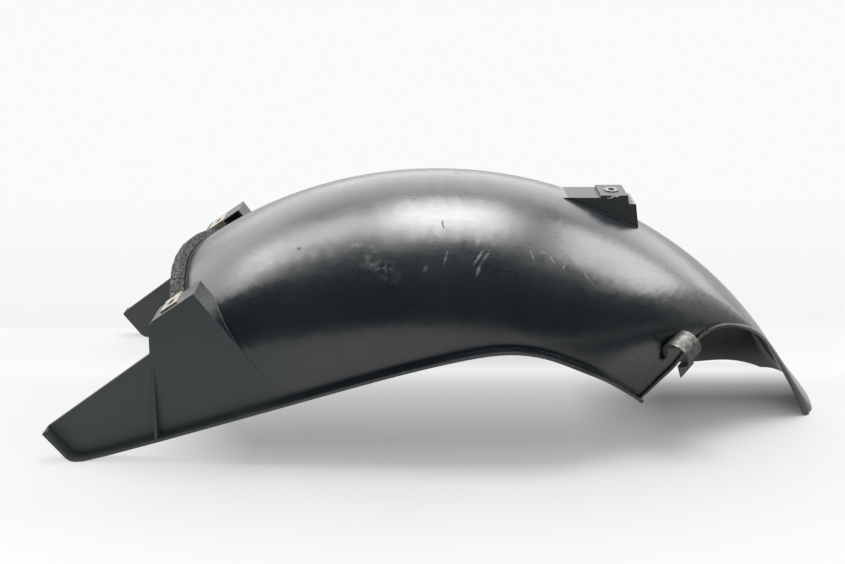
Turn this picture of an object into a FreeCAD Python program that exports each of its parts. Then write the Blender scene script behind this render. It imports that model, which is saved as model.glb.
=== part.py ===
import FreeCAD, Part
import math
import os
import Sketcher

V = FreeCAD.Vector
doc = FreeCAD.newDocument("rear_fender")

# Driving sizes, in millimetres
sheet = doc.addObject("Spreadsheet::Sheet", "Sizes")
SIZES = [
    ("crown_radius", 329.0, "outer radius of the crown about the wheel axle"),
    ("half_width", 101.0, "half width over the side walls"),
    ("tail_half_width", 42.0, "half width over the tail channel"),
    ("wall", 2.8, "moulded wall"),
    ("rim_out", 7.0, "rim flange, standing out from the wall"),
    ("rim_thick", 2.4, "rim flange, thickness"),
    ("section_floor", 180.0, "radius the sections are closed at, below every rim"),
    ("tail_flare", 13.9, "outward flare of the tail end"),
    ("tower_width", 24.0, "depth of the front towers across the fender"),
    ("rib_thick", 2.2, "gusset rib on each wing"),
    ("bracket_width", 27.0, "rear bracket, across"),
    ("strip_thick", 1.6, "edge strip of the tail"),
    ("groove_deep", 1.5, "groove between the foam seat and the dome"),
    ("foam_thick", 7.6, "foam strip, thickness"),
    ("foam_gap", 0.9, "foam strip, clear of each clip nut"),
    ("insert_flange_radius", 5.6, "rear insert, flange"),
    ("insert_body_radius", 4.2, "rear insert, body"),
    ("insert_hole_radius", 2.6, "rear insert, hole"),
    ("insert_lip", 0.8, "rear insert, flange thickness"),
    ("nut_width", 15.0, "clip nut, along the tower top"),
    ("nut_reach", 17.0, "clip nut, across the tower top"),
    ("nut_sheet", 0.9, "clip nut, sheet thickness"),
    ("nut_fold", 0.9, "clip nut, room inside the fold"),
    ("nut_hole_radius", 2.5, "clip nut, thread"),
    ("nut_pass_radius", 3.3, "clip nut, plain hole of the upper leaf"),
    ("nut_barrel_radius", 4.2, "clip nut, barrel under the lower leaf"),
    ("nut_barrel_long", 4.5, "clip nut, barrel length"),
    ("tower_hole_radius", 4.6, "clearance hole in the tower top"),
    ("band_radius", 11.0, "cable clip, outside radius of the loop"),
    ("band_thick", 1.0, "cable clip, strip thickness"),
    ("band_width", 17.0, "cable clip, width of the strip"),
]
SIZE = {}
for row, (alias, value, note) in enumerate(SIZES, start=1):
    sheet.set("A%d" % row, alias)
    sheet.set("B%d" % row, str(value))
    sheet.set("C%d" % row, note)
    sheet.setAlias("B%d" % row, alias)
    SIZE[alias] = value
doc.recompute()

# The side view is drawn for a crown of 329 and a half width of 101, and follows both
LONG = SIZE["crown_radius"] / 329.0
BROAD = SIZE["half_width"] / 101.0
AXLE_X = -10.0 * LONG
AXLE_DROP = 138.8 * LONG


def drawn(*points):
    """Points of the side view, (x, z), at the size of the crown."""
    return [(x * LONG, z * LONG) for x, z in points]


# Shape along the crown: angle about the axle, share of the full half width,
# shoulder radius, crown cross radius, share of the tail flare
SHAPE = [
    (-37.9, 0.93, 42.0, 165.0, 0.0),
    (-31.0, 1.00, 54.0, 137.0, 0.0),
    (-12.0, 1.00, 72.0, 110.0, 0.0),
    (6.0, 1.00, 75.0, 106.0, 0.0),
    (16.0, 1.00, 75.0, 106.0, 0.0),
    (24.0, 0.95, 72.0, 107.0, 0.005),
    (32.0, 0.78, 62.0, 110.0, 0.02),
    (40.0, 0.45, 42.0, 130.0, 0.05),
    (47.0, 0.12, 17.0, 220.0, 0.10),
    (52.0, 0.01, 7.0, 300.0, 0.155),
    (57.0, 0.00, 6.5, 300.0, 0.22),
    (68.0, 0.00, 20.0, 90.0, 1.00),
]
STATION_COUNT = 21


def even_curve(column, at):
    """Smooth curve through one column of SHAPE that does not overshoot its points."""
    xs = [row[0] for row in SHAPE]
    ys = [row[column] for row in SHAPE]
    steps = [xs[i + 1] - xs[i] for i in range(len(xs) - 1)]
    slopes = [(ys[i + 1] - ys[i]) / steps[i] for i in range(len(steps))]
    grade = [slopes[0]]
    for i in range(1, len(slopes)):
        before = slopes[i - 1]
        after = slopes[i]
        grade.append(0.0 if before * after <= 0 else 2 * before * after / (before + after))
    grade.append(slopes[-1])
    i = max(k for k in range(len(steps)) if at >= xs[k] or k == 0)
    t = (at - xs[i]) / steps[i]
    rest = 1 - t
    return (ys[i] * rest * rest * (1 + 2 * t) + ys[i + 1] * t * t * (3 - 2 * t)
            + steps[i] * t * rest * (grade[i] * rest - grade[i + 1] * t))


STATIONS = []
for k in range(STATION_COUNT):
    angle = SHAPE[0][0] + (SHAPE[-1][0] - SHAPE[0][0]) * k / (STATION_COUNT - 1)
    STATIONS.append((angle,) + tuple(round(even_curve(c, angle), 4) for c in (1, 2, 3, 4)))


def turn(angle):
    """Placement of a section plane through the axle, angle degrees aft of upright."""
    upright = FreeCAD.Rotation(V(1, 1, 1), 120)
    lean = FreeCAD.Rotation(V(0, 1, 0), angle)
    return FreeCAD.Placement(V(AXLE_X, 0, -AXLE_DROP), lean.multiply(upright))


def section(name, station, grow_value, grow_text):
    """U section, grown outward by grow (negative is inward), bound to the sheet."""
    angle, share, shoulder, cross, flare = station
    width = SIZE["tail_half_width"] + share * (SIZE["half_width"] - SIZE["tail_half_width"])
    width += grow_value
    crown = SIZE["crown_radius"] + flare * SIZE["tail_flare"] + grow_value
    shoulder_r = shoulder * BROAD + grow_value
    cross_r = cross * BROAD + grow_value
    floor = SIZE["section_floor"]
    mid = crown - cross_r
    side = width - shoulder_r
    rise = math.sqrt((cross_r - shoulder_r) ** 2 - side ** 2)
    seat = mid + rise
    lean = math.atan2(rise, side)
    sk = doc.addObject("Sketcher::SketchObject", name)
    up = V(0, 0, 1)
    arc = Part.ArcOfCircle
    left = arc(Part.Circle(V(-side, seat, 0), up, shoulder_r), math.pi - lean, math.pi)
    top = arc(Part.Circle(V(0, mid, 0), up, cross_r), lean, math.pi - lean)
    right = arc(Part.Circle(V(side, seat, 0), up, shoulder_r), 0.0, lean)
    sk.addGeometry([
        Part.LineSegment(V(-width, floor, 0), V(-width, seat, 0)),
        left,
        top,
        right,
        Part.LineSegment(V(width, seat, 0), V(width, floor, 0)),
        Part.LineSegment(V(width, floor, 0), V(-width, floor, 0)),
    ], False)
    con = Sketcher.Constraint
    sk.addConstraint([
        con("Tangent", 0, 2, 1, 2),
        con("Tangent", 1, 1, 2, 2),
        con("Tangent", 2, 1, 3, 2),
        con("Tangent", 3, 1, 4, 1),
        con("Coincident", 4, 2, 5, 1),
        con("Coincident", 5, 2, 0, 1),
        con("Vertical", 0),
        con("Vertical", 4),
        con("Horizontal", 5),
        con("PointOnObject", 2, 3, -2),
        con("Equal", 1, 3),
    ])
    base = "Sizes.tail_half_width + %g * (Sizes.half_width - Sizes.tail_half_width) + %s"
    bound = [
        (con("DistanceX", -1, 1, 4, 2, width), base % (share, grow_text)),
        (con("DistanceX", 0, 1, -1, 1, width), base % (share, grow_text)),
        (con("DistanceY", -1, 1, 4, 2, floor), "Sizes.section_floor"),
        (con("Radius", 2, cross_r), "%g / 101 * Sizes.half_width + %s" % (cross, grow_text)),
        (con("Radius", 1, shoulder_r), "%g / 101 * Sizes.half_width + %s" % (shoulder, grow_text)),
        (con("DistanceY", -1, 1, 2, 3, mid),
         "Sizes.crown_radius + %g * Sizes.tail_flare - %g / 101 * Sizes.half_width" % (flare, cross)),
    ]
    for constraint, text in bound:
        index = sk.addConstraint(constraint)
        sk.setExpression("Constraints[%d]" % index, text)
    sk.Placement = turn(angle)
    return sk


def loft(name, grow_value, grow_text, stations=STATIONS):
    cuts = [section("%s_at_%d" % (name, i), s, grow_value, grow_text) for i, s in enumerate(stations)]
    body = doc.addObject("Part::Loft", name)
    body.Sections = cuts
    body.Solid = True
    body.Ruled = False
    return body


outer = loft("outer_form", 0.0, "0")
inner = loft("inner_form", -SIZE["wall"], "-Sizes.wall")
around = loft("rim_form", SIZE["rim_out"], "Sizes.rim_out")

# Side outlines, (x, z), read along each edge
WING_EDGE = drawn((-281.0, 0.0), (-275.0, 0.4), (-255.8, 5.6), (-218.1, 17.0), (-147.9, 39.0), (-76.3, 61.6))
BELLY_EDGE = drawn(
    (-76.3, 61.6), (-40.0, 72.6), (-7.4, 81.5), (16.6, 87.0), (37.8, 89.7), (63.2, 86.8),
    (91.5, 74.2), (106.6, 65.2), (125.1, 49.8), (148.8, 23.6))
WING_FRONT = drawn((-299.8, 26.6), (-302.0, 24.0), (-287.4, 2.6), (-284.4, 0.5), (-281.0, 0.0))
ARCH_OUT = drawn(
    (147.0, 26.6), (155.2, 36.9), (161.8, 46.4), (168.6, 54.8), (176.5, 70.7), (183.6, 81.4),
    (191.8, 86.2), (200.4, 87.8), (211.9, 86.9), (223.1, 83.4), (235.7, 77.3), (249.5, 65.8),
    (260.6, 51.4), (270.6, 36.5), (284.0, 15.1), (291.7, 0.0))
ARCH_IN = drawn(
    (148.8, 23.6), (157.2, 34.6), (164.0, 43.8), (170.9, 52.4), (178.5, 68.3), (185.3, 79.2),
    (192.9, 83.8), (200.9, 85.5), (211.6, 85.1), (222.2, 81.9), (234.2, 75.9), (246.9, 65.2),
    (257.1, 50.5), (266.7, 35.4), (278.8, 15.4), (287.2, 0.0))
FAR_TAIL = drawn(
    (148.8, 23.6), (180.0, 9.4), (205.0, 5.2), (226.0, 6.4), (246.0, 7.6), (264.0, 5.0), (278.0, 0.0))
TOWER = drawn((-217.5, 87.0), (-215.9, 108.8), (-213.2, 112.6), (-181.8, 134.2), (-141.0, 74.0))
EDGE_SHARE = 0.4176
JOIN = tuple(a + EDGE_SHARE * (b - a) for a, b in zip(WING_EDGE[4], WING_EDGE[5]))
PANEL_END = drawn((-141.0, 74.0), (-122.0, 56.0)) + [JOIN]


def beside(points, gap):
    """The polyline moved sideways by gap, to the left of its run."""
    moved = []
    for i, (x, z) in enumerate(points):
        x0, z0 = points[max(i - 1, 0)]
        x1, z1 = points[min(i + 1, len(points) - 1)]
        run = math.hypot(x1 - x0, z1 - z0)
        moved.append((x - gap * (z1 - z0) / run, z + gap * (x1 - x0) / run))
    return moved


def outline(name, runs):
    """Sketch in the side view. Each run is a list of points, smooth where marked."""
    sk = doc.addObject("Sketcher::SketchObject", name)
    sk.Placement = FreeCAD.Placement(V(0, 0, 0), FreeCAD.Rotation(V(1, 0, 0), 90))
    for points, smooth in runs:
        spots = [V(x, z, 0) for x, z in points]
        if smooth:
            curve = Part.BSplineCurve()
            curve.interpolate(spots)
            sk.addGeometry(curve, False)
        else:
            for p, q in zip(spots, spots[1:]):
                sk.addGeometry(Part.LineSegment(p, q), False)
    return sk


def prism(name, runs, near, far):
    """Outline swept across the fender between two sheet expressions for y."""
    sk = outline(name + "_outline", runs)
    sk.setExpression("Placement.Base.y", near)
    body = doc.addObject("Part::Extrusion", name)
    body.Base = sk
    body.DirMode = "Custom"
    body.Dir = V(0, 1, 0)
    body.Solid = True
    body.setExpression("LengthFwd", "(%s) - (%s)" % (far, near))
    return body


def boolean(kind, name, base, tool):
    body = doc.addObject("Part::" + kind, name)
    body.Base = base
    body.Tool = tool
    return body


def fuse(name, bodies):
    body = doc.addObject("Part::MultiFuse", name)
    body.Shapes = bodies
    return body


def mirror(name, body):
    other = doc.addObject("Part::Mirroring", name)
    other.Source = body
    other.Normal = V(0, 1, 0)
    other.Base = V(0, 0, 0)
    return other


def closed(*runs):
    """Close a chain of runs with straight lines where one ends and the next begins."""
    chain = []
    for i, (points, smooth) in enumerate(runs):
        chain.append((points, smooth))
        after = runs[(i + 1) % len(runs)][0][0]
        if math.dist(points[-1], after) > 1e-6:
            chain.append(([points[-1], after], False))
    return chain


# The shell, trimmed to its edge on each side
BELOW = drawn((340.0, 0.0), (340.0, -90.0), (-250.0, -90.0))
MIDDLE = "-Sizes.tail_half_width * 0.6"
hollow = boolean("Cut", "hollow_form", outer, inner)
near_trim = prism("near_trim", closed(
    (WING_EDGE[3:], False), (BELLY_EDGE, True), (ARCH_IN, True), (BELOW, False)),
    "-Sizes.half_width * 1.4", MIDDLE)
far_trim = prism("far_trim", closed(
    (WING_EDGE[3:], False), (BELLY_EDGE, True), (FAR_TAIL, True), (BELOW, False)),
    MIDDLE, "Sizes.half_width * 1.4")
shell = boolean("Cut", "shell_near_trimmed", hollow, near_trim)
shell = boolean("Cut", "shell_trimmed", shell, far_trim)

# Flat side panel with the wing. It leans out by a hair towards its tip, so that it
# runs out of the dome's wall with no step.
LEAN_OUT = 0.1
panel = prism("near_panel", closed(
    (WING_FRONT[:1] + TOWER + PANEL_END[1:], False),
    (WING_EDGE[::-1][1:] + WING_FRONT[::-1][1:-1], False)),
    "-Sizes.half_width - 0.2", "-Sizes.half_width - 0.2 + Sizes.wall")
panel_sketch = panel.Base
panel_sketch.Placement = FreeCAD.Placement(
    V(0, 0, 0), FreeCAD.Rotation(V(0, 0, 1), LEAN_OUT).multiply(panel_sketch.Placement.Rotation))
panel_sketch.setExpression("Placement.Base.y", "-Sizes.half_width + %g" % (0.24 * LONG))

# Its rim, and the gusset rib from the rim up the wing
front_edge = WING_FRONT + WING_EDGE[1:-1] + PANEL_END[-1:]
front_rim = prism("near_front_rim", closed(
    (front_edge, False), (beside(front_edge, SIZE["rim_thick"])[::-1], False)),
    "-Sizes.half_width - Sizes.rim_out", "-Sizes.half_width + 1")
RIB_TALL = 66.0 * LONG
RIB_FOOT = drawn((-219.8, 17.2))[0]
root_y = -SIZE["half_width"] + 0.6
toe_y = -SIZE["half_width"] - SIZE["rim_out"]
upright = FreeCAD.Rotation(V(1, 1, 1), 120)


def bent_sheet(name, geometry, place, forward, backward="0"):
    """Closed outline at a placement, thickened along its normal."""
    sk = doc.addObject("Sketcher::SketchObject", name + "_outline")
    sk.addGeometry(geometry, False)
    sk.Placement = place
    body = doc.addObject("Part::Extrusion", name)
    body.Base = sk
    body.DirMode = "Normal"
    body.Solid = True
    body.setExpression("LengthFwd", forward)
    body.setExpression("LengthRev", backward)
    return body


def loop(points):
    ring = points + points[:1]
    return [Part.LineSegment(V(p[0], p[1], 0), V(q[0], q[1], 0)) for p, q in zip(ring, ring[1:])]


rib = bent_sheet(
    "near_rib", loop([(root_y, RIB_TALL), (root_y, 0.0), (toe_y, 0.0)]),
    FreeCAD.Placement(V(RIB_FOOT[0], 0, RIB_FOOT[1]), FreeCAD.Rotation(V(0, 1, 0), 1.9).multiply(upright)),
    "Sizes.rib_thick")

# Front tower: left wall, sloping top and rear facet, open towards the middle
TOWER_FACE = "-Sizes.half_width - 0.2"
tower_band = prism("near_tower_band", closed(
    (TOWER, False), (beside(TOWER, -SIZE["wall"])[::-1], False)),
    TOWER_FACE, TOWER_FACE + " + Sizes.tower_width")
tower = boolean("Cut", "near_tower", tower_band, inner)

# Rim flange of the belly, following the wall as it narrows
lead = [JOIN, BELLY_EDGE[0]]
belly_line = lead[:1] + BELLY_EDGE
belly_top = beside(belly_line, SIZE["rim_thick"])
belly_prism = prism("near_belly_band", closed(
    (lead, False), (BELLY_EDGE, True), (belly_top[:0:-1], True), (belly_top[1::-1], False)),
    "-Sizes.half_width * 1.4", "-Sizes.tail_half_width * 0.5")
belly_ring = boolean("Common", "near_belly_ring", belly_prism, around)
belly_rim = boolean("Cut", "near_belly_rim", belly_ring, inner)
side_parts = fuse("near_side", [panel, front_rim, rib, tower, belly_rim])
far_side = mirror("far_side", side_parts)

# Edge strip of the near side of the tail, and the rim of its far side
strip_form = loft("strip_form", SIZE["strip_thick"], "Sizes.strip_thick")
strip_band = prism("tail_strip_band", closed((ARCH_OUT, True), (ARCH_IN[::-1], True)),
                   "-Sizes.half_width * 1.4", "-Sizes.tail_half_width * 0.8")
strip_ring = boolean("Common", "tail_strip_ring", strip_band, strip_form)
strip = boolean("Cut", "tail_strip", strip_ring, inner)
far_band = prism("far_tail_band", closed(
    (FAR_TAIL, True), (beside(FAR_TAIL, SIZE["rim_thick"])[::-1], True)),
    "Sizes.tail_half_width * 0.5", "Sizes.half_width * 1.4")
far_ring = boolean("Common", "far_tail_ring", far_band, around)
far_rim = boolean("Cut", "far_tail_rim", far_ring, inner)

# Rear bracket on the crown: a pad, a step behind it, hollow from below
PAD = drawn((114.0, 177.2), (134.8, 177.2))
BRACKET = drawn((84.0, 175.4), (114.0, 175.4)) + PAD + drawn(
    (136.2, 170.4), (141.6, 170.2), (145.4, 149.0), (145.4, 118.0), (84.0, 118.0))
CAVITY = drawn(
    (97.0, 172.4), (131.6, 172.4), (133.4, 167.4), (138.6, 167.2), (142.2, 148.0), (142.2, 112.0),
    (97.0, 112.0))
block = prism("bracket_block", closed((BRACKET, False)),
              "-Sizes.bracket_width / 2", "Sizes.bracket_width / 2")
bracket = boolean("Cut", "bracket_outside", block, inner)
cavity = prism("bracket_cavity", closed((CAVITY, False)),
               "-Sizes.bracket_width / 2 + Sizes.wall", "Sizes.bracket_width / 2 - Sizes.wall")


def wedge(name, start, end, reach):
    """Slice between two angles about the axle."""
    spots = []
    for angle, radius in ((start, 270.0), (start, 372.0), (end, 372.0), (end, 270.0)):
        a = math.radians(angle)
        spots.append((AXLE_X + LONG * radius * math.sin(a), LONG * radius * math.cos(a) - AXLE_DROP))
    return prism(name, closed((spots, False)), "-(%s)" % reach, reach)


# Front lip: a groove parts the foam seat from the dome
LIP = SHAPE[0][0]
FOAM_REACH = ("Sizes.half_width + 0.2 - Sizes.tower_width - Sizes.nut_fold - Sizes.nut_sheet"
              " - Sizes.foam_gap")
groove_form = loft("groove_form", -SIZE["groove_deep"], "-Sizes.groove_deep", STATIONS[:4])
groove_slice = wedge("groove_slice", -36.25, -35.85, FOAM_REACH)
groove = boolean("Cut", "lip_groove", groove_slice, groove_form)

whole = fuse("fender_solid", [shell, side_parts, far_side, strip, far_rim, bracket])
hollowed = boolean("Cut", "fender_hollowed", whole, fuse("hollows", [cavity, groove]))


def cylinder(name, radius, height, place):
    body = doc.addObject("Part::Cylinder", name)
    body.setExpression("Radius", radius)
    body.setExpression("Height", height)
    body.Placement = place
    return body


# Holes: rear insert seat and the clearance holes of the front towers
INSERT_X, PAD_Z = drawn((124.4, 177.2))[0]
flat = FreeCAD.Rotation()
seat = cylinder("insert_seat", "Sizes.insert_body_radius", "30",
                FreeCAD.Placement(V(INSERT_X, 0, PAD_Z - 25), flat))
(top_x0, top_z0), (top_x1, top_z1) = TOWER[2:4]
TOP_LEAN = -math.degrees(math.atan2(top_z1 - top_z0, top_x1 - top_x0))
NUT_SHARE = 0.363
NUT_X = top_x0 + NUT_SHARE * (top_x1 - top_x0)
NUT_Z = top_z0 + NUT_SHARE * (top_z1 - top_z0)
EDGE = -SIZE["half_width"] - 0.2 + SIZE["tower_width"]
NUT_Y = EDGE - 9.0
over = FreeCAD.Rotation(V(0, 1, 0), TOP_LEAN)


def on_top(drop):
    """Point on the nut's axis, drop below the tower top."""
    return V(NUT_X, NUT_Y, NUT_Z).add(over.multVec(V(0, 0, -drop)))


drill = cylinder("near_tower_drill", "Sizes.tower_hole_radius", "24", FreeCAD.Placement(on_top(12), over))
holes = fuse("holes", [seat, drill, mirror("far_tower_drill", drill)])
fender = boolean("Cut", "fender", hollowed, holes)

# Foam strip on the lip
foam_form = loft("foam_form", SIZE["foam_thick"], "Sizes.foam_thick", STATIONS[:4])
foam_slice = wedge("foam_slice", LIP - 2.0, -36.45, FOAM_REACH)
foam_piece = boolean("Common", "foam_piece", foam_form, foam_slice)
foam = boolean("Cut", "foam_seal", foam_piece, outer)

# Clip nut: folded sheet over the open edge of the tower top
sheet_t = SIZE["nut_sheet"]
plate = SIZE["wall"]
back = EDGE - SIZE["nut_reach"]
fold = EDGE + SIZE["nut_fold"]
FOLDED = [(back, 0.0), (back, sheet_t), (fold + sheet_t, sheet_t), (fold + sheet_t, -plate - sheet_t),
          (back - 1.5, -plate - sheet_t), (back - 1.5, -plate), (fold, -plate), (fold, 0.0)]
leaf = bent_sheet("nut_leaf", loop(FOLDED), FreeCAD.Placement(V(NUT_X, 0, NUT_Z), over.multiply(upright)),
                  "Sizes.nut_width / 2", "Sizes.nut_width / 2")
barrel = cylinder("nut_barrel", "Sizes.nut_barrel_radius", "Sizes.nut_barrel_long",
                  FreeCAD.Placement(on_top(plate + sheet_t + SIZE["nut_barrel_long"] - 0.4), over))
thread = cylinder("nut_thread", "Sizes.nut_hole_radius", "24", FreeCAD.Placement(on_top(12), over))
pass_hole = cylinder("nut_pass", "Sizes.nut_pass_radius", "8", FreeCAD.Placement(on_top(plate / 2), over))
nut_holes = fuse("nut_holes", [thread, pass_hole])
nut_left = boolean("Cut", "clip_nut_left", fuse("nut_solid", [leaf, barrel]), nut_holes)
nut_right = mirror("clip_nut_right", nut_left)

# Rear insert: flanged ring
collar = cylinder("insert_collar", "Sizes.insert_flange_radius", "Sizes.insert_lip",
                  FreeCAD.Placement(V(INSERT_X, 0, PAD_Z), flat))
sleeve = cylinder("insert_sleeve", "Sizes.insert_body_radius", "9",
                  FreeCAD.Placement(V(INSERT_X, 0, PAD_Z - 9 + 0.2), flat))
pin = cylinder("insert_bore", "Sizes.insert_hole_radius", "30",
               FreeCAD.Placement(V(INSERT_X, 0, PAD_Z - 20), flat))
insert = boolean("Cut", "rear_insert", fuse("insert_solid", [collar, sleeve]), pin)

# Cable clip: strip bent to an open loop, one leg on the wall and a flared tab
CLIP_X, CLIP_Z = drawn((169.9, 80.0))[0]
CLIP_WALL = SIZE["tail_half_width"] + 0.476 * (SIZE["half_width"] - SIZE["tail_half_width"])
CLIP_AT = V(CLIP_X, -CLIP_WALL - 9.6, CLIP_Z)
AXIS = V(0.68, 0.64, 0.36)
ACROSS = V(0.65, -0.30, -0.70)
clip_turn = FreeCAD.Rotation(ACROSS, AXIS.cross(ACROSS), AXIS, "ZXY")
clip_frame = FreeCAD.Placement(CLIP_AT, clip_turn)
r_out = SIZE["band_radius"]
r_in = r_out - SIZE["band_thick"]
START = math.radians(-260)
END = math.radians(36)
HALF_BAND = "Sizes.band_width / 2"


def polar(radius, angle):
    return V(radius * math.cos(angle), radius * math.sin(angle), 0)


hoop = bent_sheet("clip_hoop", [
    Part.ArcOfCircle(Part.Circle(V(0, 0, 0), V(0, 0, 1), r_out), START, END),
    Part.ArcOfCircle(Part.Circle(V(0, 0, 0), V(0, 0, 1), r_in), START, END),
    Part.LineSegment(polar(r_out, START), polar(r_in, START)),
    Part.LineSegment(polar(r_out, END), polar(r_in, END))], clip_frame, HALF_BAND, HALF_BAND)


def strap(name, start, run, length):
    """Flat length of the strip from start in direction run."""
    side = (-run[1] * SIZE["band_thick"] / 2, run[0] * SIZE["band_thick"] / 2)
    corners = []
    for far, sign in ((-0.4, 1), (length, 1), (length, -1), (-0.4, -1)):
        corners.append((start.x + far * run[0] + sign * side[0], start.y + far * run[1] + sign * side[1]))
    return bent_sheet(name, loop(corners), clip_frame, HALF_BAND, HALF_BAND)


middle = r_out - SIZE["band_thick"] / 2
tab = strap("clip_tab", polar(middle, END), (0.80, 0.60), 11.0)
leg = strap("clip_leg", polar(middle, START), (0.30, 0.954), 9.0)
clip_raw = fuse("clip_solid", [hoop, tab, leg])
clip_off_wall = boolean("Cut", "clip_off_wall", clip_raw, outer)
clip = boolean("Cut", "cable_clip", clip_off_wall, strip)

NODES = [fender, foam, nut_left, nut_right, insert, clip]
doc.recompute()
for item in doc.Objects:
    if "Invalid" in item.State or "Error" in item.State:
        raise RuntimeError("%s is %s" % (item.Name, item.State))
os.makedirs("parts", exist_ok=True)
for node in NODES:
    node.Label = node.Name
    shape = node.Shape
    if shape.isNull() or not shape.isValid():
        raise RuntimeError(node.Name + " has no valid shape")
    print(node.Name, len(shape.Solids), "solid,", round(shape.Volume), "mm3")
    shape.exportStep("parts/%s.step" % node.Name)
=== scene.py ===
import bpy
import bmesh
import math
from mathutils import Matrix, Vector, noise


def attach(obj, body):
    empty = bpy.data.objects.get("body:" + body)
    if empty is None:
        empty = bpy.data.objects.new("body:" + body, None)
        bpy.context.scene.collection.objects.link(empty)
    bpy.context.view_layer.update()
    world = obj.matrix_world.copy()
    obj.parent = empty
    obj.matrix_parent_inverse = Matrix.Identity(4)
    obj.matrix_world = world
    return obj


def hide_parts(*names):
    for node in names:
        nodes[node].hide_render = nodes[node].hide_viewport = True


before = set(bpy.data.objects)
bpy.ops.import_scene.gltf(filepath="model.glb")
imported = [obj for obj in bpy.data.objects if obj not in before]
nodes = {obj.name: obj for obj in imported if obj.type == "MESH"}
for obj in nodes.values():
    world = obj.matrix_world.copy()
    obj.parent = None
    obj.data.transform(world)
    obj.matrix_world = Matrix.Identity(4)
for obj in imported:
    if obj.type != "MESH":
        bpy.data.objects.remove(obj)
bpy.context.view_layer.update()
scene = bpy.context.scene
scene.view_settings.view_transform = "Standard"

MM = 0.001


# Camera at the photo's angle: place in metres, tilt below the horizon in degrees, lens in mm
CAMERA_PLACE = (-0.022, -0.7044, 0.405)
CAMERA_TILT = 23.45
SENSOR_WIDTH = 36.0
FOCAL_LENGTH = 40.47


def set_camera():
    lens = bpy.data.cameras.new("camera")
    lens.sensor_fit = "HORIZONTAL"
    lens.sensor_width = SENSOR_WIDTH
    lens.lens = FOCAL_LENGTH
    camera = bpy.data.objects.new("camera", lens)
    camera.location = CAMERA_PLACE
    camera.rotation_euler = (math.radians(90 - CAMERA_TILT), 0, 0)
    scene.collection.objects.link(camera)
    scene.camera = camera


set_camera()


# Node helpers
def add(tree, kind, **values):
    """New node; a value sets the input of that name, or else the property."""
    node = tree.nodes.new(kind)
    for key, value in values.items():
        if key in node.inputs:
            node.inputs[key].default_value = value
        else:
            setattr(node, key, value)
    return node


def feed(tree, socket, node, into):
    tree.links.new(socket, node.inputs[into])


def material(name):
    """New material with its tree, its shader and a socket for the place on the piece, in metres."""
    mat = bpy.data.materials.new(name)
    mat.use_nodes = True
    tree = mat.node_tree
    place = add(tree, "ShaderNodeTexCoord").outputs["Object"]
    return mat, tree, tree.nodes["Principled BSDF"], place


def axes_of(tree, place):
    axes = add(tree, "ShaderNodeSeparateXYZ")
    feed(tree, place, axes, "Vector")
    return axes.outputs["X"], axes.outputs["Y"], axes.outputs["Z"]


def calc(tree, kind, first, *others):
    """Math on sockets or numbers, one after the other; a lone item for kinds such as SQRT."""
    total = first
    for other in others or (None,):
        node = add(tree, "ShaderNodeMath", operation=kind)
        for index, item in enumerate((total, other)):
            if isinstance(item, (int, float)):
                node.inputs[index].default_value = item
            elif item is not None:
                feed(tree, item, node, index)
        total = node.outputs[0]
    return total


def ramp(tree, socket, stops):
    """Colour ramp over a value; a stop is a place from 0 to 1 and a grey level or a colour."""
    node = add(tree, "ShaderNodeValToRGB")
    band = node.color_ramp
    while len(band.elements) < len(stops):
        band.elements.new(0.5)
    for element, (at, level) in zip(band.elements, stops):
        element.position = at
        element.color = (level, level, level, 1) if isinstance(level, (int, float)) else (*level, 1)
    feed(tree, socket, node, "Fac")
    return node.outputs["Color"]


def ramp_at(tree, socket, stops):
    """Ramp over a coordinate, with its stops in metres from -0.5 to 0.5."""
    shifted = calc(tree, "ADD", socket, 0.5)
    return ramp(tree, shifted, [(at + 0.5, level) for at, level in stops])


def mix(tree, share, low, high):
    """Mixed colour of two sockets or colours."""
    node = add(tree, "ShaderNodeMix", data_type="RGBA")
    feed(tree, share, node, 0)
    for index, item in ((6, low), (7, high)):
        if isinstance(item, tuple):
            node.inputs[index].default_value = (*item, 1)
        else:
            feed(tree, item, node, index)
    return node.outputs[2]


def noise_at(tree, vector, scale, detail=3.0, rough=0.55, out="Fac"):
    node = add(tree, "ShaderNodeTexNoise", Scale=scale, Detail=detail, Roughness=rough)
    feed(tree, vector, node, "Vector")
    return node.outputs[out]


def relief(tree, shader, height, strength, depth, edge=None):
    """Bump from a height, over edges rounded by a radius where one is given."""
    bump = add(tree, "ShaderNodeBump", Strength=strength, Distance=depth)
    feed(tree, height, bump, "Height")
    if edge:
        round_edge = add(tree, "ShaderNodeBevel", samples=4, Radius=edge)
        feed(tree, round_edge.outputs["Normal"], bump, "Normal")
    feed(tree, bump.outputs["Normal"], shader, "Normal")


# Marks on the dome, in mm: two ends and half the width
SCRATCHES = [
    ((-3.2, -75.0, 159.1), (-7.5, -85.0, 147.8), 0.8),
    ((26.8, -74.4, 157.3), (20.1, -81.5, 150.2), 1.1),
    ((20.1, -81.5, 150.2), (15.7, -87.9, 142.2), 1.3),
    ((21.8, -74.8, 157.5), (13.7, -83.8, 148.1), 1.1),
    ((-20.9, -86.8, 145.5), (-18.8, -84.5, 148.4), 1.6),
    ((55.1, -69.7, 157.0), (58.1, -78.9, 146.9), 0.7),
    ((62.2, -70.7, 154.4), (68.0, -71.2, 152.2), 0.7),
    ((68.0, -71.2, 152.2), (73.5, -76.3, 145.8), 0.8),
    ((81.1, -71.4, 148.5), (78.4, -78.3, 142.0), 0.8),
    ((92.6, -74.3, 141.9), (98.1, -79.1, 134.5), 0.8),
    ((98.1, -79.1, 134.5), (103.9, -81.6, 127.8), 0.8),
]
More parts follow.
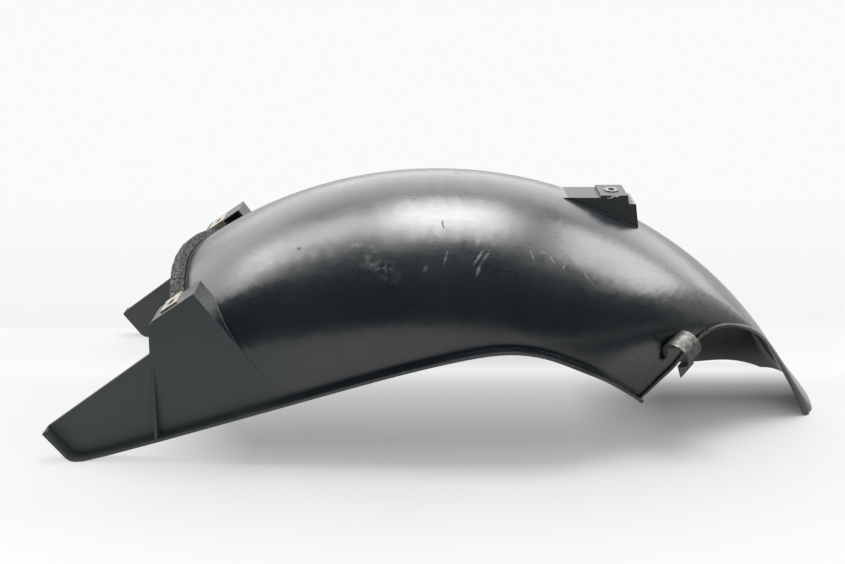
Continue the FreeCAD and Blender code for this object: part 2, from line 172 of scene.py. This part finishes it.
SMEARS = [
    ((-77.5, -69.9, 158.0), (-66.7, -70.7, 159.0), 3.4),
    ((-58.8, -72.3, 158.8), (-55.8, -76.6, 155.1), 2.8),
    ((-65.7, -78.3, 152.0), (-41.4, -88.4, 142.4), 7.5),
    ((-113.0, -53.0, 160.0), (-94.0, -54.0, 164.5), 8.0),
    ((-117.0, -58.0, 156.0), (-112.0, -49.0, 162.0), 4.0),
    ((93.0, -25.2, 170.4), (97.0, -28.0, 168.0), 4.0),
]
NICKS = [
    ((-7.9, -57.6, 173.2), (-6.6, -64.1, 168.7), 0.8),
    ((-111.6, -64.3, 153.4), (-111.0, -64.7, 153.4), 1.4),
    ((-34.3, -28.1, 185.5), (-33.0, -36.0, 183.4), 0.9),
    ((-33.0, -36.5, 183.4), (-25.5, -38.3, 182.7), 1.0),
    ((-15.7, -31.9, 185.2), (-13.0, -37.0, 183.5), 0.9),
]

# A mark's depth as a multiple of its half width, and how far noise shifts it, in metres
MARK_DEPTH = 1.6
WOBBLE = 1.6 * MM

# Moulding mark on the crown, in mm: its centre, then heights by the distance from it
GATE = (5.0, 3.9, 189.7)
GATE_REACH = 10.0
GATE_RING = [
    (0.0, 0.2), (1.6, 0.35), (2.4, 1.0), (3.4, 1.0),
    (4.0, 0.5), (7.0, 0.55), (7.6, 0.75), (8.2, 0.6),
]

# Places on the shell that its looks follow, in metres
AXLE_X = -0.010
AXLE_Z = -0.1388
BRACKET_FROM_AXLE = 0.3294
BRACKET_HALF_WIDTH = 0.017
BRACKET_FRONT = 0.07
BRACKET_BACK = 0.14
SIDE_FACE = 0.1006
WINGS_END = -0.152
DOME_START = -0.100


# Moulded plastic
def matt_zones(tree, place):
    """1 on the flat faces of the wings and towers and on the rear bracket, 0 on the dome."""
    x, y, z = axes_of(tree, place)
    wide = calc(tree, "ABSOLUTE", y)
    front = ramp_at(tree, x, [(WINGS_END, 1.0), (DOME_START, 0.0)])
    sides = calc(tree, "MULTIPLY", front, calc(tree, "GREATER_THAN", wide, SIDE_FACE))
    back = calc(tree, "POWER", calc(tree, "SUBTRACT", x, AXLE_X), 2.0)
    high = calc(tree, "POWER", calc(tree, "SUBTRACT", z, AXLE_Z), 2.0)
    from_axle = calc(tree, "SQRT", calc(tree, "ADD", back, high))
    bracket = calc(tree, "MULTIPLY",
                   calc(tree, "GREATER_THAN", from_axle, BRACKET_FROM_AXLE),
                   calc(tree, "LESS_THAN", wide, BRACKET_HALF_WIDTH),
                   calc(tree, "GREATER_THAN", x, BRACKET_FRONT),
                   calc(tree, "LESS_THAN", x, BRACKET_BACK))
    return calc(tree, "MAXIMUM", sides, bracket)


def along(tree, vector, start, end, half):
    """Value that is 1 in the middle of a line between two points and 0 outside a thin ellipsoid."""
    a = Vector(start) * MM
    b = Vector(end) * MM
    run = b - a
    wide = half * MM
    node = add(tree, "ShaderNodeMapping", vector_type="TEXTURE", Location=(a + b) / 2,
               Rotation=run.to_track_quat("X", "Z").to_euler(),
               Scale=(run.length / 2 + wide, wide, wide * MARK_DEPTH))
    feed(tree, vector, node, "Vector")
    ball = add(tree, "ShaderNodeTexGradient", gradient_type="SPHERICAL")
    feed(tree, node.outputs["Vector"], ball, "Vector")
    return ball.outputs["Fac"]


def wobbled(tree, place):
    """The place, shifted a little by noise, so that marks aren't straight."""
    moved = add(tree, "ShaderNodeVectorMath", operation="MULTIPLY_ADD")
    feed(tree, noise_at(tree, place, 260.0, 2.0, out="Color"), moved, 0)
    moved.inputs[1].default_value = (WOBBLE, WOBBLE, WOBBLE)
    feed(tree, place, moved, 2)
    settled = add(tree, "ShaderNodeVectorMath", operation="SUBTRACT")
    feed(tree, moved.outputs["Vector"], settled, 0)
    settled.inputs[1].default_value = (WOBBLE / 2, WOBBLE / 2, WOBBLE / 2)
    return settled.outputs["Vector"]


def wear(tree, place):
    """Pale scratches with smears, and dark nicks, each from 0 to 1."""
    spot = wobbled(tree, place)

    def marked(marks, stops):
        return ramp(tree, calc(tree, "MAXIMUM", *[along(tree, spot, *mark) for mark in marks]), stops)

    broken = ramp(tree, noise_at(tree, place, 420.0, 4.0, 0.7), [(0.38, 0.0), (0.62, 1.0)])
    patchy = ramp(tree, noise_at(tree, place, 190.0, 6.0, 0.75), [(0.46, 0.0), (0.66, 1.0)])
    lines = calc(tree, "MULTIPLY", marked(SCRATCHES, [(0.0, 0.0), (0.6, 0.62)]), broken)
    smears = calc(tree, "MULTIPLY", marked(SMEARS, [(0.0, 0.0), (0.7, 0.42)]), patchy)
    nicks = marked(NICKS, [(0.05, 0.0), (0.4, 0.9)])
    return calc(tree, "MAXIMUM", lines, smears), nicks


def gate_ring(tree, place):
    """Height of the shallow ring round a small pip on the crown."""
    centre = add(tree, "ShaderNodeVectorMath", operation="DISTANCE")
    feed(tree, place, centre, 0)
    centre.inputs[1].default_value = Vector(GATE) * MM
    far = calc(tree, "MULTIPLY", centre.outputs["Value"], 1 / (GATE_REACH * MM))
    return ramp(tree, far, [(at / GATE_REACH, level) for at, level in GATE_RING])


def moulding():
    """Black plastic: matt on flat mould faces, worn glossy on the dome."""
    mat, tree, shader, place = material("moulded_plastic")
    cloud = noise_at(tree, place, 16.0, 6.0, 0.6)
    flat = matt_zones(tree, place)
    pale, nicks = wear(tree, place)
    marks = calc(tree, "MAXIMUM", pale, nicks)

    glossy = ramp(tree, cloud, [(0.3, (0.0080, 0.0125, 0.0155)), (0.7, (0.0110, 0.0160, 0.0195))])
    matt = ramp(tree, cloud, [(0.3, (0.0190, 0.0260, 0.0285)), (0.7, (0.0240, 0.0320, 0.0345))])
    colour = mix(tree, flat, glossy, matt)
    colour = mix(tree, pale, colour, (0.20, 0.205, 0.20))
    colour = mix(tree, nicks, colour, (0.006, 0.006, 0.006))
    feed(tree, colour, shader, "Base Color")

    streak_map = add(tree, "ShaderNodeMapping", Scale=(60.0, 420.0, 420.0), Rotation=(0.3, 0.2, 0.5))
    feed(tree, place, streak_map, "Vector")
    streak = noise_at(tree, streak_map.outputs["Vector"], 1.0, 5.0, 0.65)
    glossy_rough = ramp(tree, cloud, [(0.3, 0.22), (0.7, 0.32)])
    matt_rough = ramp(tree, cloud, [(0.3, 0.50), (0.7, 0.58)])
    rough = calc(tree, "ADD", mix(tree, flat, glossy_rough, matt_rough),
                 ramp(tree, streak, [(0.35, 0.0), (0.75, 0.055)]),
                 calc(tree, "MULTIPLY", marks, 0.35))
    feed(tree, rough, shader, "Roughness")
    shader.inputs["Specular IOR Level"].default_value = 0.72

    grain = noise_at(tree, place, 1500.0, 2.0)
    height = calc(tree, "ADD", calc(tree, "MULTIPLY", grain, 0.10), gate_ring(tree, place),
                  calc(tree, "MULTIPLY", marks, -0.25))
    relief(tree, shader, height, 0.35, 0.6 * MM, 0.7 * MM)
    return mat


def metal(name, dark, light, rough, rust=None):
    """Plated or bare steel with stains, and rust where a colour is given."""
    mat, tree, shader, place = material(name)
    shader.inputs["Metallic"].default_value = 0.85
    stain = noise_at(tree, place, 260.0, 6.0, 0.65)
    colour = ramp(tree, stain, [(0.35, dark), (0.65, light)])
    if rust:
        spots = ramp(tree, noise_at(tree, place, 420.0, 5.0, 0.7), [(0.52, 0.0), (0.66, 0.85)])
        colour = mix(tree, spots, colour, rust)
    feed(tree, colour, shader, "Base Color")
    feed(tree, ramp(tree, stain, [(0.3, rough + 0.14), (0.7, rough - 0.05)]), shader, "Roughness")
    relief(tree, shader, stain, 0.2, 0.2 * MM, 0.3 * MM)
    return mat


def foam_look():
    """Dark foam with pale cell walls and dust, painted darkest at the cell centres as shade in the pits."""
    mat, tree, shader, place = material("foam")
    cells = add(tree, "ShaderNodeTexVoronoi", Scale=640.0)
    feed(tree, place, cells, "Vector")
    # Painted shade: near black at the cell centres for the shade in the pits, paler out to the cell walls
    colour = ramp(tree, cells.outputs["Distance"],
                  [(0.15, (0.014, 0.014, 0.014)), (0.50, (0.115, 0.120, 0.117)), (0.8, (0.36, 0.37, 0.36))])
    dust = ramp(tree, noise_at(tree, place, 500.0), [(0.3, 0.25), (0.65, 0.9)])
    feed(tree, mix(tree, dust, (0.03, 0.03, 0.03), colour), shader, "Base Color")
    shader.inputs["Roughness"].default_value = 0.95
    shader.inputs["Specular IOR Level"].default_value = 0.2
    relief(tree, shader, cells.outputs["Distance"], 0.7, 0.6 * MM)
    return mat


def torn_look():
    """Plastic gone white where it tore."""
    mat, tree, shader, place = material("whitened_plastic")
    colour = ramp(tree, noise_at(tree, place, 600.0, 4.0),
                  [(0.35, (0.16, 0.16, 0.155)), (0.65, (0.50, 0.50, 0.48))])
    feed(tree, colour, shader, "Base Color")
    shader.inputs["Roughness"].default_value = 0.6
    return mat


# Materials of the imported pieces
nut_steel = metal("nut_steel", (0.21, 0.193, 0.155), (0.44, 0.412, 0.345), 0.46)
LOOKS = {
    "fender": moulding(),
    "clip_nut_left": nut_steel,
    "clip_nut_right": nut_steel,
    "rear_insert": metal("bush_steel", (0.10, 0.10, 0.098), (0.24, 0.24, 0.235), 0.46),
    "cable_clip": metal("clip_steel", (0.048, 0.048, 0.045), (0.135, 0.134, 0.126), 0.48,
                        rust=(0.055, 0.048, 0.040)),
}
WELD_REACH = 0.01 * MM
SHARP_EDGE = 24


def even_shading(piece):
    """Smooths the shading across the seams between faces and keeps true edges."""
    weld = piece.modifiers.new("weld", "WELD")
    weld.merge_threshold = WELD_REACH
    split = piece.modifiers.new("split", "EDGE_SPLIT")
    split.split_angle = math.radians(SHARP_EDGE)
    even = piece.modifiers.new("even", "WEIGHTED_NORMAL")
    even.keep_sharp = True


for name, mat in LOOKS.items():
    nodes[name].data.materials.clear()
    nodes[name].data.materials.append(mat)
    even_shading(nodes[name])


# Foam strip: open cells, edges slumped round; sizes in mm, noise scales per mm, reach of a pit in cells
FOAM_VOXEL = 0.55
SLUMP_SHARE = 0.6
SLUMP_STEPS = 6
PIT_SCALE = 0.62
PIT_REACH = 0.42
PIT_DEPTH = 1.5
SWELL_SCALE = 0.11
SWELL_HEIGHT = 0.35
SHRINK = 0.2


def slumped_copy(piece):
    """Mesh of a piece, remeshed evenly with its edges rounded off."""
    rough = bpy.data.objects.new("foam_rough", piece.data.copy())
    scene.collection.objects.link(rough)
    cubes = rough.modifiers.new("cubes", "REMESH")
    cubes.mode = "VOXEL"
    cubes.voxel_size = FOAM_VOXEL * MM
    soft = rough.modifiers.new("soft", "SMOOTH")
    soft.factor = SLUMP_SHARE
    soft.iterations = SLUMP_STEPS
    graph = bpy.context.evaluated_depsgraph_get()
    mesh = bpy.data.meshes.new_from_object(rough.evaluated_get(graph))
    bpy.data.objects.remove(rough)
    return mesh


def foam_strip():
    mesh = slumped_copy(nodes["foam_seal"])
    bm = bmesh.new()
    bm.from_mesh(mesh)
    bm.normal_update()
    for vert in bm.verts:
        at = vert.co / MM
        near = noise.voronoi(at * PIT_SCALE)[0][0]
        pit = max(0.0, PIT_REACH - near) * PIT_DEPTH
        swell = noise.noise(at * SWELL_SCALE) * SWELL_HEIGHT + SHRINK
        vert.co -= vert.normal * (pit + max(0.0, swell)) * MM
    bm.to_mesh(mesh)
    bm.free()
    mesh.materials.clear()
    mesh.materials.append(foam_look())
    for face in mesh.polygons:
        face.use_smooth = True
    strip = bpy.data.objects.new("foam_strip", mesh)
    scene.collection.objects.link(strip)
    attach(strip, "root")
    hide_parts("foam_seal")


foam_strip()


# Torn burr on the edge of the rear pad: course, half width and half thickness in mm, lean in radians
BURR_PATH = [
    (118.6, -13.3, 174.9), (120.6, -13.9, 175.0), (122.2, -14.3, 175.7), (123.4, -14.3, 176.7),
    (124.6, -13.9, 177.0), (126.0, -14.3, 176.6), (127.4, -14.2, 177.1), (128.6, -13.4, 177.4),
]
BURR_HALF_WIDTH = 0.7
BURR_HALF_THICK = 0.18
BURR_END_SHARE = 0.25
BURR_LEAN = 0.7
BURR_TWIST = 0.5
BURR_TWIST_STEP = 1.3


def burr_row(bm, index, point):
    """Four corners of the strip at one point of its course, narrower near the ends."""
    middle = math.sin(math.pi * (index + 0.5) / len(BURR_PATH))
    taper = BURR_END_SHARE + (1 - BURR_END_SHARE) * middle
    lean = BURR_LEAN + BURR_TWIST * math.sin(index * BURR_TWIST_STEP)
    across = Vector((0.15, math.cos(lean), math.sin(lean))).normalized() * BURR_HALF_WIDTH * taper
    thick = Vector((0.1, -math.sin(lean), math.cos(lean))).normalized() * BURR_HALF_THICK
    corners = ((-1, -1), (1, -1), (1, 1), (-1, 1))
    return [bm.verts.new((Vector(point) + across * a + thick * b) * MM) for a, b in corners]


def burr():
    bm = bmesh.new()
    rows = [burr_row(bm, index, point) for index, point in enumerate(BURR_PATH)]
    for one, two in zip(rows, rows[1:]):
        for k in range(4):
            bm.faces.new((one[k], one[(k + 1) % 4], two[(k + 1) % 4], two[k]))
    bm.faces.new(rows[0][::-1])
    bm.faces.new(rows[-1])
    bmesh.ops.recalc_face_normals(bm, faces=bm.faces)
    mesh = bpy.data.meshes.new("torn_burr")
    bm.to_mesh(mesh)
    bm.free()
    mesh.materials.append(torn_look())
    piece = bpy.data.objects.new("torn_burr", mesh)
    scene.collection.objects.link(piece)
    round_off = piece.modifiers.new("round", "SUBSURF")
    round_off.levels = 2
    round_off.render_levels = 2
    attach(piece, "root")


burr()


# Stage, in metres
STAGE_HALF = 4.0
FLOOR_FRONT = -0.5
FLOOR_BACK = 6.0
SHADOW_HALF_LENGTH = 0.58
SHADOW_HALF_DEPTH = 0.26
ROOM_WALL = -1.5
ROOM_FOOT = -2.5
ROOM_TOP = 2.2
STRIP_HEIGHT = 0.002


def plane(name, corners):
    mesh = bpy.data.meshes.new(name)
    mesh.from_pydata(corners, [], [(0, 1, 2, 3)])
    obj = bpy.data.objects.new(name, mesh)
    scene.collection.objects.link(obj)
    return obj


def seen_white(tree):
    """1 for rays that should see the plain background."""
    path = add(tree, "ShaderNodeLightPath")
    rays = ("Is Camera Ray", "Is Glossy Ray", "Is Transmission Ray")
    return calc(tree, "MAXIMUM", *[path.outputs[ray] for ray in rays])


def white_and_painted_light_share(tree, x, y):
    """Share of plain white on the floor: all of it away from the part, little in the shadow, more where
    painted light thins the shadow.
    """
    out_x = calc(tree, "POWER", calc(tree, "MULTIPLY", x, 1 / SHADOW_HALF_LENGTH), 2.0)
    out_y = calc(tree, "POWER", calc(tree, "MULTIPLY", y, 1 / SHADOW_HALF_DEPTH), 2.0)
    reach = calc(tree, "SQRT", calc(tree, "ADD", out_x, out_y))
    away = ramp(tree, reach, [(0.50, 0.02), (1.0, 1.0)])

    # Painted light: glow thins the cast shadow under the back of the belly, behind the tail and under the
    # wings
    belly_painted_light = ramp_at(tree, y, [(-0.080, 0.16), (-0.017, 0.45), (0.007, 0.58), (0.034, 0.85), (0.120, 0.16)])
    tail_painted_light = ramp_at(tree, y, [(-0.015, 0.0), (0.007, 0.26), (0.034, 0.90), (0.120, 0.10)])
    before_tail = ramp_at(tree, x, [(0.10, 1.0), (0.18, 0.0)])
    wings = ramp_at(tree, x, [(-0.26, 0.58), (-0.20, 0.42), (-0.12, 0.0)])
    return calc(tree, "MAXIMUM", away, mix(tree, before_tail, tail_painted_light, belly_painted_light), wings)


def floor_look():
    """Pale floor that keeps the shadow near the part, thinned in places by painted light, and runs out to
    plain white.
    """
    mat, tree, shader, place = material("floor")
    x, y, _ = axes_of(tree, place)
    tint = ramp(tree, noise_at(tree, place, 5.0), [(0.3, (0.845, 0.85, 0.848)), (0.7, (0.87, 0.875, 0.873))])
    feed(tree, tint, shader, "Base Color")
    shader.inputs["Roughness"].default_value = 0.7
    shader.inputs["Specular IOR Level"].default_value = 0.0
    plain = add(tree, "ShaderNodeEmission", Strength=1.0)
    wall_tone = ramp_at(tree, y, [(0.113, (0.985, 0.99, 0.985)), (0.123, (0.905, 0.915, 0.91)),
                                  (0.5, (0.95, 0.96, 0.95))])
    feed(tree, wall_tone, plain, "Color")
    blend = add(tree, "ShaderNodeMixShader")
    # The white glow also paints light into the shadow where the share is raised
    feed(tree, calc(tree, "MULTIPLY", white_and_painted_light_share(tree, x, y), seen_white(tree)), blend, "Fac")
    feed(tree, shader.outputs["BSDF"], blend, 1)
    feed(tree, plain.outputs["Emission"], blend, 2)
    feed(tree, blend.outputs["Shader"], tree.nodes["Material Output"], "Surface")
    return mat


floor = plane("floor", [(-STAGE_HALF, FLOOR_FRONT, 0), (STAGE_HALF, FLOOR_FRONT, 0),
                        (STAGE_HALF, FLOOR_BACK, 0), (-STAGE_HALF, FLOOR_BACK, 0)])
floor.data.materials.append(floor_look())

# Dark room behind the camera and a dark strip before the tail, for reflections only
CARDS = {
    "room_front": [(-STAGE_HALF, ROOM_WALL, ROOM_FOOT), (STAGE_HALF, ROOM_WALL, ROOM_FOOT),
                   (STAGE_HALF, ROOM_WALL, ROOM_TOP), (-STAGE_HALF, ROOM_WALL, ROOM_TOP)],
    "room_ceiling": [(-STAGE_HALF, ROOM_WALL, ROOM_TOP), (STAGE_HALF, ROOM_WALL, ROOM_TOP),
                     (STAGE_HALF, FLOOR_FRONT, ROOM_TOP), (-STAGE_HALF, FLOOR_FRONT, ROOM_TOP)],
    "room_right": [(0.10, -0.36, STRIP_HEIGHT), (STAGE_HALF, -0.36, STRIP_HEIGHT),
                   (STAGE_HALF, -0.14, STRIP_HEIGHT), (0.17, -0.14, STRIP_HEIGHT)],
}


def dark_card(name, corners):
    card = plane(name, corners)
    mat, tree, shader, place = material(name)
    feed(tree, ramp(tree, noise_at(tree, place, 2.0), [(0.3, 0.02), (0.7, 0.04)]), shader, "Base Color")
    shader.inputs["Roughness"].default_value = 1.0
    card.data.materials.append(mat)
    card.visible_camera = False
    card.visible_diffuse = False
    card.visible_shadow = False


for name, corners in CARDS.items():
    dark_card(name, corners)


def set_world():
    """Even grey light, with a plain white background for what is seen."""
    world = bpy.data.worlds.new("world")
    scene.world = world
    world.use_nodes = True
    tree = world.node_tree
    shade = mix(tree, seen_white(tree), (0.72, 0.72, 0.72), (0.98, 0.985, 0.98))
    feed(tree, shade, tree.nodes["Background"], "Color")


set_world()


# Soft lamps: place, turn in degrees, width and height, brightness of the face, for reflections only
LAMPS = {
    "soft_box": ((0.05, 0.16, 1.60), (-6, 0, 0), (0.9, 0.5), 7.5, False),
    "overhead_sheen": ((0.07, 0.15, 1.40), (0, 0, 0), (0.70, 1.02), 8.8, True),
    "right_sheen": ((1.20, 0.04, 1.25), (0, 45, 0), (0.9, 1.06), 8.2, True),
    "back_sheen": ((0.8, 1.70, 1.36), (-90, 0, 0), (4.4, 1.9), 2.3, True),
    "tail_sheen": ((2.0, 1.1, 0.8), (71.6, 0, 121.4), (1.4, 1.0), 0.6, True),
    "left_sheen": ((-1.5, 0.90, 1.00), (0, -55, 0), (1.2, 1.6), 2.4, True),
    "left_top_sheen": ((-0.78, 0.17, 1.30), (0, -28, 0), (0.75, 0.56), 9.0, True),
}


def soft_lamp(name, place, turn, size, level, reflect_only):
    lamp = bpy.data.lights.new(name, "AREA")
    lamp.shape = "RECTANGLE"
    lamp.size, lamp.size_y = size
    lamp.energy = level * math.pi * size[0] * size[1]
    obj = bpy.data.objects.new(name, lamp)
    obj.location = place
    obj.rotation_euler = [math.radians(a) for a in turn]
    obj.visible_diffuse = not reflect_only
    scene.collection.objects.link(obj)


for name, lamp in LAMPS.items():
    soft_lamp(name, *lamp)
